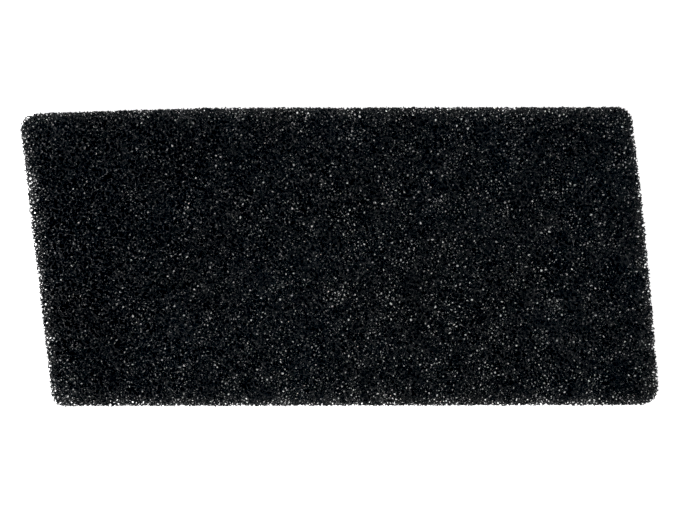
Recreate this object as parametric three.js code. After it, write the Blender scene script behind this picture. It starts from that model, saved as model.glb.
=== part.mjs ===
// Flat air-filter element: one die-cut pad of open-cell foam, in millimetres, +Z up.
// The pad lies on its downstream face. X runs along its length, Y across it, Z through its thickness.
// The origin is the centre of the outline's bounding box, in the downstream face.
import * as THREE from "three";

// Driving dimensions of the outline
const LOWER_EDGE = 229.1; // length of the lower long edge between its sharp corners
const DEPTH = 112.6; // from the lower long edge to the upper one
const LEFT_LEAN = 12.7; // how far the upper end of the left edge leans out past the lower end
const RIGHT_LEAN = 10.7; // how far the upper end of the right edge leans in
const RIGHT_BOW = 1; // how far the right edge bows out at its middle
const SHOULDER_RUN = 72; // the upper edge falls away over this length next to the left corner
const SHOULDER_DROP = 2.2; // and by this much at the corner itself

// Driving dimensions of the section
const THICKNESS = 8;

// Radii left by the cutting die
const LOWER_LEFT_RADIUS = 5;
const LOWER_RIGHT_RADIUS = 7;
const UPPER_RIGHT_RADIUS = 6;
const UPPER_LEFT_RADIUS = 6;
const SHOULDER_RADIUS = 160; // the shoulder is a gentle bend and no corner

const ARC_DIVISIONS = 10; // each rounded stretch is cut into twice as many straight steps

// The sharp corners, counter-clockwise from the lower left. The right edge's bow is a corner of its own,
// with a radius as long as the edge allows.
function sharpCorners() {
  const lowerLeft = new THREE.Vector2(0, 0);
  const lowerRight = new THREE.Vector2(LOWER_EDGE, 0);
  const upperRight = new THREE.Vector2(LOWER_EDGE - RIGHT_LEAN, DEPTH);
  const upperLeft = new THREE.Vector2(-LEFT_LEAN, DEPTH - SHOULDER_DROP);
  const shoulder = new THREE.Vector2(SHOULDER_RUN - LEFT_LEAN, DEPTH);
  const edge = upperRight.clone().sub(lowerRight);
  const outward = new THREE.Vector2(edge.y, -edge.x).normalize();
  const bow = lowerRight.clone().addScaledVector(edge, 0.5).addScaledVector(outward, RIGHT_BOW);
  return [
    { at: lowerLeft, radius: LOWER_LEFT_RADIUS },
    { at: lowerRight, radius: LOWER_RIGHT_RADIUS },
    { at: bow, radius: bowRadius(edge.length()) },
    { at: upperRight, radius: UPPER_RIGHT_RADIUS },
    { at: shoulder, radius: SHOULDER_RADIUS },
    { at: upperLeft, radius: UPPER_LEFT_RADIUS },
  ];
}

// The radius that rounds the bowed edge over the middle half of its length.
function bowRadius(edgeLength) {
  const tangent = edgeLength / 4;
  const turn = Math.atan2(RIGHT_BOW, edgeLength / 2);
  return tangent / Math.tan(turn);
}

// The arc that rounds one corner: its centre, radius and end angles, from the two unit directions away
// from the corner along its edges.
function cornerArc(before, corner, after) {
  const back = before.clone().sub(corner.at).normalize();
  const ahead = after.clone().sub(corner.at).normalize();
  const half = Math.acos(THREE.MathUtils.clamp(back.dot(ahead), -1, 1)) / 2;
  const bisector = back.clone().add(ahead).normalize();
  const centre = corner.at.clone().addScaledVector(bisector, corner.radius / Math.sin(half));
  const reach = corner.radius / Math.tan(half);
  const start = corner.at.clone().addScaledVector(back, reach).sub(centre);
  const end = corner.at.clone().addScaledVector(ahead, reach).sub(centre);
  return { centre, radius: corner.radius, from: start.angle(), to: end.angle() };
}

// The whole outline, its edges straight and its corners arcs, centred on its bounding box.
function padOutline() {
  const corners = sharpCorners();
  const outline = new THREE.Shape();
  corners.forEach((corner, i) => {
    const before = corners[(i + corners.length - 1) % corners.length].at;
    const after = corners[(i + 1) % corners.length].at;
    const arc = cornerArc(before, corner, after);
    outline.absarc(arc.centre.x, arc.centre.y, arc.radius, arc.from, arc.to, false);
  });
  const points = outline.getPoints(ARC_DIVISIONS);
  const box = new THREE.Box2().setFromPoints(points);
  const middle = box.getCenter(new THREE.Vector2());
  return new THREE.Shape(points.map((point) => point.sub(middle)));
}

// Reticulated polyurethane foam, dyed black.
function foamMaterial() {
  return new THREE.MeshStandardMaterial({ color: 0x14171a, roughness: 0.6, metalness: 0 });
}

// The pad itself: the outline carried straight through the thickness, as the die cuts it from a sheet.
// Its pores are finer than this solid shows, so the solid is the pad's outer form.
function foamPad() {
  const geometry = new THREE.ExtrudeGeometry(padOutline(), { depth: THICKNESS, bevelEnabled: false });
  const pad = new THREE.Mesh(geometry, foamMaterial());
  pad.name = "foam_pad";
  return pad;
}

const filterElement = new THREE.Group();
filterElement.add(foamPad());

export default filterElement;
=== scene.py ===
"""A flat air-filter element: one die-cut pad of black open-cell foam, lying on a white table."""
import math

import bpy
import numpy as np
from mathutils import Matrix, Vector


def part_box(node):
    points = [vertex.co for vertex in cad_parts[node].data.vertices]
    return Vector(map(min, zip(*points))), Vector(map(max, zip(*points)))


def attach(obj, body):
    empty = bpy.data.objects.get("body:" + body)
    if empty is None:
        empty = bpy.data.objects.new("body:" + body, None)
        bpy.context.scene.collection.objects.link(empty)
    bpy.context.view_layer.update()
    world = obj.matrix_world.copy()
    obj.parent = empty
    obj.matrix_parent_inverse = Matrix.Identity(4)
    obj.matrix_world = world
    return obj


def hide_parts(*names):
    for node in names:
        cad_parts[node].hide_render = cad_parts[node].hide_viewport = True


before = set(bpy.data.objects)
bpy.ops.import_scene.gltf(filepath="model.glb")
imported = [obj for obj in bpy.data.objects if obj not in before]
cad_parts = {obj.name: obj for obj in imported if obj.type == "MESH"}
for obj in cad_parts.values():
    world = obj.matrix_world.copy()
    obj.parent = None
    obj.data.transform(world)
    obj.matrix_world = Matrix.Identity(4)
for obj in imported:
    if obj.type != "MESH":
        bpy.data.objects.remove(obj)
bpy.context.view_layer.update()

MM = 0.001  # every size below is in millimetres until a mesh is written

# ---- The block of foam -----------------------------------------------------------------------------
# The pad is cut from a block of black reticulated polyurethane foam. Its gas cells have burst their
# windows, so only the struts along the cells' edges are left. Four struts meet at each corner, and the
# block rose as it foamed, which left every cell taller than it is wide.

CELL = 1.74  # mean width of a cell
RISE = 1.53  # a cell's height over its width
SEED = 4171
BLOCK_TURN = (0.47, 0.83, 0.31)  # how the cells' repeat is turned in the block, in radians
SPREAD = 0.085  # how far a strut corner strays at random, in cell widths
SWIRLS = 80  # waves that bend the rows of cells out of line
SWIRL_LENGTHS = (2.2, 6.5)  # their shortest and longest length, in cell widths
SWIRL_REACH = 0.010  # height of each wave over its length
BOND = 0.28  # in a cube of side 1, corners closer than this are joined by a strut
SPARE = 1.8  # how far the block is made past the pad, in cubes of eight cells

rng = np.random.default_rng(SEED)


def all_signs():
    """The eight rows (+-1, +-1, +-1)."""
    return np.array(np.meshgrid((-1, 1), (-1, 1), (-1, 1))).reshape(3, -1).T


def three_ways(points):
    """The points with their coordinates passed round: x y z, then z x y, then y z x."""
    return np.concatenate([np.roll(points, k, axis=1) for k in range(3)])


def repeat_of_foam():
    """The corners and struts of one repeat of eight cells, in a cube of side 1.

    Two cells have twelve five-sided windows and six have fourteen. Their corners lie in three sets: on the
    middles of the cube's faces, on its diagonals at 0.1837 from a cell's middle, and on its mirror planes at
    0.3077 by 0.1173. A strut joins every corner to the four nearest, all closer than 0.28. A strut is
    written as its two corners and the cube that its far corner is in.
    """
    faces = three_ways(np.array([(0.25, 0, 0.5), (0.75, 0, 0.5)]))
    diagonals = all_signs() * 0.1837
    planes = three_ways(all_signs() * (0, 0.3077, 0.1173))
    corners = np.concatenate([faces, diagonals, diagonals + 0.5, planes, planes[:, [1, 0, 2]] + 0.5])
    corners = np.unique(np.round(corners % 1, 6) % 1, axis=0)
    cubes = np.array(np.meshgrid((-1, 0, 1), (-1, 0, 1), (-1, 0, 1))).reshape(3, -1).T
    gaps = corners[None, None] + cubes[:, None, None] - corners[None, :, None]
    length = np.linalg.norm(gaps, axis=-1)
    cube, near, far = np.nonzero((length > 0) & (length < BOND))
    return corners, near, far, cubes[cube]


def turn_matrix(a, b, c):
    """Turns by a about Z, then b about Y, then c about X, as one matrix."""
    z = np.array([[math.cos(a), -math.sin(a), 0], [math.sin(a), math.cos(a), 0], [0, 0, 1]])
    y = np.array([[math.cos(b), 0, math.sin(b)], [0, 1, 0], [-math.sin(b), 0, math.cos(b)]])
    x = np.array([[1, 0, 0], [0, math.cos(c), -math.sin(c)], [0, math.sin(c), math.cos(c)]])
    return x @ y @ z


def swirled(points):
    """Points moved by waves of every length.

    Each point moves by the sum, over the waves, of height x push x sin(point . wave + phase).
    """
    ways = rng.normal(size=(SWIRLS, 3))
    ways /= np.linalg.norm(ways, axis=1, keepdims=True)
    pushes = rng.normal(size=(SWIRLS, 3))
    pushes /= np.linalg.norm(pushes, axis=1, keepdims=True)
    lengths = CELL * np.exp(rng.uniform(*np.log(SWIRL_LENGTHS), SWIRLS))
    phases = rng.uniform(0, 2 * math.pi, SWIRLS)
    waves = ways * (2 * math.pi / lengths)[:, None]
    return points + np.sin(points @ waves.T + phases) @ (pushes * (SWIRL_REACH * lengths)[:, None])


def block_of_foam(half_size):
    """Corner points of a block that reaches half_size each way from the origin, and each corner's neighbours.

    Cubes of the repeat are laid on a turned grid, swirled, given a random stray, and stretched upwards.
    Row n of the second array is the four corners that corner n is joined to, or -1 past the block's end.
    """
    corners, near, far, step = repeat_of_foam()
    side = 2 * CELL
    turn = turn_matrix(*BLOCK_TURN)
    reach = math.ceil(np.linalg.norm(half_size) / side) + 1
    grid = np.stack(np.meshgrid(*[np.arange(-reach, reach)] * 3, indexing="ij"), -1).reshape(-1, 3)
    middles = (grid + 0.5) @ turn.T * side
    grid = grid[(np.abs(middles) < half_size + SPARE * side).all(axis=1)]
    number = np.full((2 * reach + 2,) * 3, -1)
    number[tuple((grid + reach).T)] = np.arange(len(grid))

    points = ((grid[:, None] + corners) @ turn.T * side).reshape(-1, 3)
    points = swirled(points) + rng.normal(size=points.shape) * SPREAD * CELL
    points[:, 2] *= RISE

    order = np.argsort(near, kind="stable")
    far, step = far[order].reshape(-1, 4), step[order].reshape(-1, 4, 3)
    cube = number[tuple(np.moveaxis(grid[:, None, None] + step + reach, -1, 0))]
    joined = np.where(cube >= 0, cube * len(corners) + far, -1).reshape(-1, 4)
    return points, joined


low, high = (np.array(corner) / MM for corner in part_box("foam_pad"))
middle = (low + high) / 2
half_block = (high - low) / 2 * (1, 1, 1 / RISE)
points, joined = block_of_foam(half_block)
points += middle

# ---- The cut ---------------------------------------------------------------------------------------
# A splitting knife takes the sheet off the block at the pad's thickness, and a die stamps the outline
# through it. The knife leaves strut ends flush with both faces. The die pulls at the foam, so the struts
# round the rim end a little long or short.

TEAR = 0.16  # how far a strut end at the rim lies from the die's line, one standard deviation
FALLS_OUT = 6  # strut lengths over which a loose scrap at the cut is looked for
SHORTEST_STUB, LONGEST_STUB = 0.02, 0.95  # how much of a cut strut may be left
AT_A_TIME = 50000  # places tested together, to spare memory


def cutting_planes():
    """Outward normals and offsets of the pad's flat sides, from its solid: n . x = offset on each."""
    mesh = bpy.data.objects["foam_pad"].data
    normals = np.empty(len(mesh.polygons) * 3)
    mesh.polygons.foreach_get("normal", normals)
    centres = np.empty(len(mesh.polygons) * 3)
    mesh.polygons.foreach_get("center", centres)
    normals = normals.reshape(-1, 3)
    offsets = (normals * centres.reshape(-1, 3)).sum(axis=1) / MM
    planes = np.unique(np.round(np.column_stack([normals, offsets]), 4), axis=0)
    return planes[:, :3], planes[:, 3]


normals, offsets = cutting_planes()


def outside_by(places):
    """How far each place lies outside the pad, negative inside: the largest of n . x - offset."""
    return np.concatenate([(part @ normals.T - offsets).max(axis=1)
                           for part in np.array_split(places, 1 + len(places) // AT_A_TIME)])


whole = (joined >= 0).all(axis=1)
inside = whole & (outside_by(points) < 0)
kept = whole & (outside_by(points) < -CELL)
for _ in range(FALLS_OUT):
    kept |= inside & kept[joined].any(axis=1)

# ---- The struts ------------------------------------------------------------------------------------
# A strut is three-cornered, because it fills the gap between three gas cells, and a knot fills the gap
# between four where its struts meet. Both are made about 1.75 times as wide as in foam that is 97
# percent open, so that 8 mm of it looks dense from above.

STRUT = 0.475  # side of a strut's section
UNEVEN = 0.16  # how much knots differ in size, one standard deviation over the mean
SMALLEST_KNOT, LARGEST_KNOT = 0.6, 1.5  # over the mean
KNOT_SIDES = np.array([(1, 2, 3), (3, 2, 0), (0, 1, 3), (2, 1, 0)])  # each leaves out its own strut's corner
PARALLEL = 1e-6  # a strut that nears a flat side more slowly than this never meets it
UPRIGHT = 0.5  # a flat side whose normal rises less than this is part of the rim

knot_ids = np.flatnonzero(kept)
knot_number = np.full(len(points), -1)
knot_number[knot_ids] = np.arange(len(knot_ids))
knots = points[knot_ids]
ahead = points[joined[knot_ids]] - knots[:, None]
ways = ahead / np.linalg.norm(ahead, axis=2, keepdims=True)

# A knot is a small tetrahedron. Its corner for a strut lies straight behind the strut, so the side
# across from that corner faces along the strut, and the strut grows out of it. KNOT_SIDES runs round each
# side of a right-handed knot anticlockwise from outside, and is reversed on a left-handed one.
reach = STRUT / math.sqrt(8 / 3) * np.clip(rng.normal(1, UNEVEN, len(knots)), SMALLEST_KNOT, LARGEST_KNOT)
corners = knots[:, None] - reach[:, None, None] * ways
left_handed = np.linalg.det(corners[:, 1:] - corners[:, :1]) < 0
rings = np.where(left_handed[:, None, None], KNOT_SIDES[:, ::-1], KNOT_SIDES)
rings = rings + 4 * np.arange(len(knots))[:, None, None]  # corner numbers in the whole pad
corners = corners.reshape(-1, 3)

# Whole struts, each once, from its lower-numbered knot. The far ring is turned for the least twist.
far_knot = knot_number[joined[knot_ids]]
first, slot = np.nonzero(far_knot > np.arange(len(knots))[:, None])
second = far_knot[first, slot]
back_slot = (far_knot[second] == first[:, None]).argmax(axis=1)
near_ring = rings[first, slot]
far_side = rings[second, back_slot]
turned = np.stack([np.roll(far_side[:, ::-1], k, axis=1) for k in range(3)], axis=1)
twist = ((corners[turned] - corners[near_ring][:, None]) ** 2).sum(axis=(2, 3)).argmin(axis=1)
far_ring = turned[np.arange(len(twist)), twist]

# Struts that the cut went through. Each edge of the strut runs on to the first flat side that it meets.
stub_knot, stub_slot = np.nonzero(far_knot < 0)
stub_ring = rings[stub_knot, stub_slot]
stub_way = ahead[stub_knot, stub_slot]
start = corners[stub_ring]
closing = stub_way @ normals.T
closes = closing > PARALLEL
room = offsets - start @ normals.T
share = np.where(closes[:, None], room / np.where(closes, closing, 1)[:, None], np.inf)
at_rim = np.abs(normals[share.mean(axis=1).argmin(axis=1), 2]) < UPRIGHT
tear = rng.normal(0, TEAR, len(stub_knot)) * at_rim / np.linalg.norm(stub_way, axis=1)
share = np.clip(share.min(axis=2) + tear[:, None], SHORTEST_STUB, LONGEST_STUB)
stub_end = start + share[:, :, None] * stub_way[:, None]


def one_piece(name, mine):
    """The mesh of the knots that mine marks, with the struts that start at them.

    A strut between rings a and b has the sides a0 a1 b1 b0, a1 a2 b2 b1 and a2 a0 b0 b2. A strut that is cut,
    or that runs on into another piece, ends in a flat b0 b1 b2 of its own.
    """
    own = np.flatnonzero(mine)
    local = np.full(len(mine), -1)
    local[own] = np.arange(len(own))

    def renumbered(ring):
        return local[ring // 4] * 4 + ring % 4

    within = mine[first] & mine[second]
    leaving = mine[first] & ~mine[second]
    entering = ~mine[first] & mine[second]
    stubs = mine[stub_knot]
    ends = np.concatenate([corners[far_ring[leaving]], stub_end[stubs]]).reshape(-1, 3)
    end_rings = 4 * len(own) + np.arange(len(ends)).reshape(-1, 3)
    a = np.concatenate([renumbered(near_ring[within | leaving]), renumbered(stub_ring[stubs])])
    b = np.empty_like(a)
    whole_or_leaving = np.flatnonzero(within | leaving)
    is_leaving = leaving[whole_or_leaving]
    b[:len(whole_or_leaving)][~is_leaving] = renumbered(far_ring[within])
    b[:len(whole_or_leaving)][is_leaving] = end_rings[:is_leaving.sum()]
    b[len(whole_or_leaving):] = end_rings[is_leaving.sum():]
    around = [np.stack([a[:, m], a[:, (m + 1) % 3], b[:, (m + 1) % 3], b[:, m]], axis=1) for m in range(3)]
    quads = np.concatenate(around)
    flats = np.concatenate([end_rings, renumbered(far_side[entering])])
    places = np.concatenate([corners.reshape(-1, 4, 3)[own].reshape(-1, 3), ends])
    places[:, 2] = np.clip(places[:, 2], low[2], high[2])  # nothing stands past the knife's cuts

    mesh = bpy.data.meshes.new(name)
    mesh.vertices.add(len(places))
    mesh.vertices.foreach_set("co", (places * MM).astype(np.float32).ravel())
    mesh.loops.add(quads.size + flats.size)
    mesh.loops.foreach_set("vertex_index", np.concatenate([quads.ravel(), flats.ravel()]).astype(np.int32))
    mesh.polygons.add(len(quads) + len(flats))
    starts = np.concatenate([4 * np.arange(len(quads)), quads.size + 3 * np.arange(len(flats))])
    mesh.polygons.foreach_set("loop_start", starts.astype(np.int32))
    mesh.update(calc_edges=True)
    mesh.polygons.foreach_set("use_smooth", np.ones(len(mesh.polygons), bool))
    piece = bpy.data.objects.new(name, mesh)
    bpy.context.scene.collection.objects.link(piece)
    return piece


# The pad is one piece of foam. Its mesh is kept as blocks of it, side by side, because one mesh of every
# strut would be too heavy to handle. A strut that crosses from one block to the next is closed in both.
COLUMNS, ROWS = 4, 3

column = np.clip(((knots[:, 0] - low[0]) / (high[0] - low[0]) * COLUMNS).astype(int), 0, COLUMNS - 1)
row = np.clip(((knots[:, 1] - low[1]) / (high[1] - low[1]) * ROWS).astype(int), 0, ROWS - 1)
pieces = [one_piece(f"foam_pad_{c + 1}_{r + 1}", (column == c) & (row == r))
          for c in range(COLUMNS) for r in range(ROWS)]

# The foam is dyed black in the mix. The dye drifts between a bluish and a brownish black over some 20 mm,
# neighbouring struts differ a little in shade and gloss, and their skin is finely pimpled.
CLOUD_SCALE = 45  # noise per metre, as are the next two
STRAND_SCALE = 520  # about one cell across, so that neighbouring struts differ
GRAIN_SCALE = 4500  # the pimples on a strut's skin
BLUE_BLACK = (0.0003, 0.0010, 0.0017, 1)
BROWN_BLACK = (0.0007, 0.0009, 0.0011, 1)
PALEST, DARKEST = 1.7, 0.5  # a strut's colour over the mean
SMOOTHEST, ROUGHEST = 0.24, 0.46
GRAIN_HEIGHT = 0.02
GRAIN_STRENGTH = 0.5
SPECULAR = 0.14
NOISE_SPAN = (0.3, 0.7)  # most of a noise's values lie between these

foam = bpy.data.materials.new("black_foam")
foam.use_nodes = True
nodes, links = foam.node_tree.nodes, foam.node_tree.links
skin = nodes["Principled BSDF"]
skin.inputs["Specular IOR Level"].default_value = SPECULAR
place = nodes.new("ShaderNodeTexCoord")


def noise(scale, detail):
    """A noise node on the pad's own coordinates, with its value near a half on the mean."""
    node = nodes.new("ShaderNodeTexNoise")
    node.inputs["Scale"].default_value = scale
    node.inputs["Detail"].default_value = detail
    links.new(place.outputs["Object"], node.inputs["Vector"])
    return node.outputs["Fac"]


def spread_over(value, lowest, highest):
    """A noise's usual span mapped in a straight line on to lowest to highest."""
    node = nodes.new("ShaderNodeMapRange")
    node.inputs["From Min"].default_value = NOISE_SPAN[0]
    node.inputs["From Max"].default_value = NOISE_SPAN[1]
    node.inputs["To Min"].default_value = lowest
    node.inputs["To Max"].default_value = highest
    links.new(value, node.inputs["Value"])
    return node.outputs["Result"]


strands = noise(STRAND_SCALE, 1)
pigment = nodes.new("ShaderNodeMix")
pigment.data_type = "RGBA"
links.new(spread_over(noise(CLOUD_SCALE, 2), 0, 1), pigment.inputs["Factor"])
pigment.inputs["A"].default_value = BLUE_BLACK
pigment.inputs["B"].default_value = BROWN_BLACK
shade = nodes.new("ShaderNodeVectorMath")
shade.operation = "SCALE"
links.new(pigment.outputs["Result"], shade.inputs[0])
links.new(spread_over(strands, DARKEST, PALEST), shade.inputs["Scale"])
links.new(shade.outputs["Vector"], skin.inputs["Base Color"])
links.new(spread_over(strands, ROUGHEST, SMOOTHEST), skin.inputs["Roughness"])
grain = nodes.new("ShaderNodeBump")
grain.inputs["Strength"].default_value = GRAIN_STRENGTH
grain.inputs["Distance"].default_value = GRAIN_HEIGHT * MM
links.new(noise(GRAIN_SCALE, 1), grain.inputs["Height"])
links.new(grain.outputs["Normal"], skin.inputs["Normal"])

for piece in pieces:
    piece.data.materials.append(foam)
    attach(piece, "root")
    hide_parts("foam_pad")

# ---- The table, the lights and the camera ----------------------------------------------------------
# The pad lies on a matt white table. A low lamp lights it from the front left and a weaker one from
# behind. A small one hangs over it, nearly in line with the view from above, so that its light comes down
# the same pores that are looked through.

TABLE_HALF = 0.75  # metres, as is all that follows
TABLE_GAP = 0.0002  # under the pad, so that strut ends and table don't share a plane
TABLE_WHITE = 0.94
TABLE_ROUGHNESS = 0.9

table_mesh = bpy.data.meshes.new("table")
table_signs = [(-1, -1), (1, -1), (1, 1), (-1, 1)]
table_corners = [(x * TABLE_HALF, y * TABLE_HALF, -TABLE_GAP) for x, y in table_signs]
table_mesh.from_pydata(table_corners, [], [(0, 1, 2, 3)])
table = bpy.data.objects.new("table", table_mesh)
bpy.context.scene.collection.objects.link(table)
white = bpy.data.materials.new("white_table")
white.use_nodes = True
matt = white.node_tree.nodes["Principled BSDF"]
matt.inputs["Base Color"].default_value = (TABLE_WHITE, TABLE_WHITE, TABLE_WHITE, 1)
matt.inputs["Roughness"].default_value = TABLE_ROUGHNESS
table_mesh.materials.append(white)


def lamp(name, place, size, power):
    """A square soft light of that size at place, aimed at the pad's middle."""
    light = bpy.data.lights.new(name, "AREA")
    light.size = size
    light.energy = power
    stand = bpy.data.objects.new(name, light)
    stand.location = place
    stand.rotation_euler = (-Vector(place)).to_track_quat("-Z", "Y").to_euler()
    bpy.context.scene.collection.objects.link(stand)


lamp("overhead", (-0.03, 0.045, 1.3), 0.14, 9)
lamp("key", (-0.95, -0.75, 0.50), 0.4, 58)
lamp("fill", (0.45, 1.10, 0.50), 0.4, 23)

# The studio's walls are white and its ceiling is dark: brightness by height, from the horizon to overhead.
WALLS = [(0.0, 1.0), (0.45, 0.05), (1.0, 0.01)]
WALL_STRENGTH = 1.05

world = bpy.data.worlds.new("studio")
bpy.context.scene.world = world
world.use_nodes = True
nodes, links = world.node_tree.nodes, world.node_tree.links
around = nodes.new("ShaderNodeTexCoord")
height = nodes.new("ShaderNodeSeparateXYZ")
walls = nodes.new("ShaderNodeValToRGB")
walls.color_ramp.elements.new(WALLS[1][0])
for stop, (position, brightness) in zip(walls.color_ramp.elements, WALLS):
    stop.position = position
    stop.color = (brightness, brightness, brightness, 1)
links.new(around.outputs["Generated"], height.inputs["Vector"])
links.new(height.outputs["Z"], walls.inputs["Fac"])
links.new(walls.outputs["Color"], nodes["Background"].inputs["Color"])
nodes["Background"].inputs["Strength"].default_value = WALL_STRENGTH

# Plain display colours, with the deepest blacks taken down, red most. It changes no material.
BLACK_LEVEL = (0.0045, 0.0040, 0.0034)

view = bpy.context.scene.view_settings
view.view_transform = "Standard"
view.use_curve_mapping = True
view.curve_mapping.black_level = BLACK_LEVEL
view.curve_mapping.update()

LENS = 100
VIEW_WIDTH = 0.2561  # what the camera sees across at the pad's upper face
VIEW_MIDDLE = (0.0002, 0.0006)
VIEW_TURN = -0.002  # radians
NEAREST = 0.01

camera_data = bpy.data.cameras.new("camera")
camera_data.lens = LENS
camera_data.clip_start = NEAREST
camera = bpy.data.objects.new("camera", camera_data)
camera.location = (*VIEW_MIDDLE, high[2] * MM + LENS / camera_data.sensor_width * VIEW_WIDTH)
camera.rotation_euler.z = VIEW_TURN
bpy.context.scene.collection.objects.link(camera)
bpy.context.scene.camera = camera
